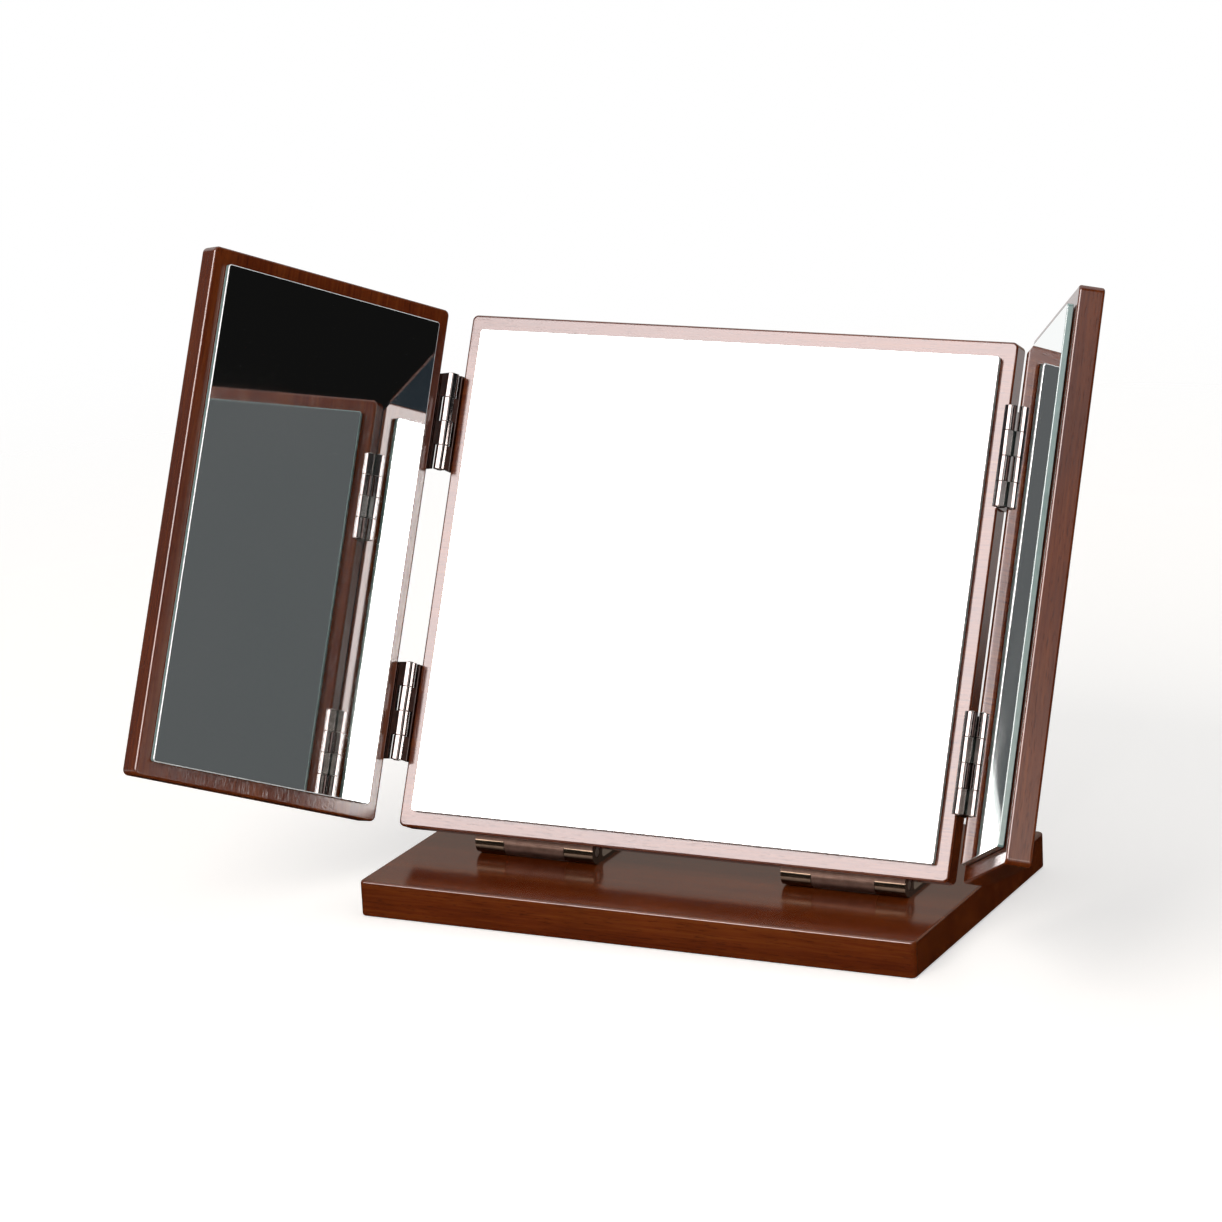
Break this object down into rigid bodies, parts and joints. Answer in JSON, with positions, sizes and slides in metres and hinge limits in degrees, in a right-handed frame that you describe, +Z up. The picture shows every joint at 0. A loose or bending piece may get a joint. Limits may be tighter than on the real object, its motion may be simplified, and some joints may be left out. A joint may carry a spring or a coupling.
{
  "type": "trifold vanity mirror",
  "caption": "Free-standing trifold vanity mirror: a leaning mirror panel on a flat wooden base, with two hinged mirror wings that swing forward.",
  "frame": {"origin": "middle of the base board's underside", "axes": "+X to the viewer's right along the base, +Y from the front to the back, +Z up"},
  "size_m": [0.4754, 0.2529, 0.3318],
  "materials": {
    "lacquered_wood": "red-brown stain under clear gloss lacquer",
    "mirror_glass": "silvered plate glass with a polished edge",
    "mounting_tape": "dark foam mounting tape",
    "polished_steel": "polished steel hinge leaves",
    "bright_steel": "bright steel pins, shafts and screws",
    "nylon": "natural nylon bush"
  },
  "bodies": {
    "base": {"base_board": "lacquered_wood", "left_tilt_base_leaf": "polished_steel", "left_tilt_base_screws": "bright_steel", "left_tilt_shaft": "bright_steel", "right_tilt_base_leaf": "polished_steel", "right_tilt_base_screws": "bright_steel", "right_tilt_shaft": "bright_steel"},
    "centre_panel": {"centre_board": "lacquered_wood", "centre_tape": "mounting_tape", "centre_mirror": "mirror_glass", "left_upper_centre_leaf": "polished_steel", "left_upper_centre_screws": "bright_steel", "left_upper_pin": "bright_steel", "left_lower_centre_leaf": "polished_steel", "left_lower_centre_screws": "bright_steel", "left_lower_pin": "bright_steel", "left_tilt_panel_leaf": "polished_steel", "left_tilt_panel_screws": "bright_steel", "left_tilt_bush": "nylon", "right_upper_centre_leaf": "polished_steel", "right_upper_centre_screws": "bright_steel", "right_upper_pin": "bright_steel", "right_lower_centre_leaf": "polished_steel", "right_lower_centre_screws": "bright_steel", "right_lower_pin": "bright_steel", "right_tilt_panel_leaf": "polished_steel", "right_tilt_panel_screws": "bright_steel", "right_tilt_bush": "nylon"},
    "left_wing": {"left_board": "lacquered_wood", "left_tape": "mounting_tape", "left_mirror": "mirror_glass", "left_upper_wing_leaf": "polished_steel", "left_upper_wing_screws": "bright_steel", "left_lower_wing_leaf": "polished_steel", "left_lower_wing_screws": "bright_steel"},
    "right_wing": {"right_board": "lacquered_wood", "right_tape": "mounting_tape", "right_mirror": "mirror_glass", "right_upper_wing_leaf": "polished_steel", "right_upper_wing_screws": "bright_steel", "right_lower_wing_leaf": "polished_steel", "right_lower_wing_screws": "bright_steel"}
  },
  "joints": [
    {"name": "tilt", "type": "hinge", "parent": "base", "child": "centre_panel", "pos_m": [0, -0.0278, 0.0247], "axis": [-1, 0, 0], "range_deg": [-25, 65]},
    {"name": "left_swing", "type": "hinge", "parent": "centre_panel", "child": "left_wing", "pos_m": [-0.1532, -0.04928, 0.03637], "axis": [0, 0.4226, 0.9063], "range_deg": [-72.5, 117.5]},
    {"name": "right_swing", "type": "hinge", "parent": "centre_panel", "child": "right_wing", "pos_m": [0.1532, -0.04928, 0.03637], "axis": [0, -0.4226, -0.9063], "range_deg": [-72.4, 117.6]}
  ]
}
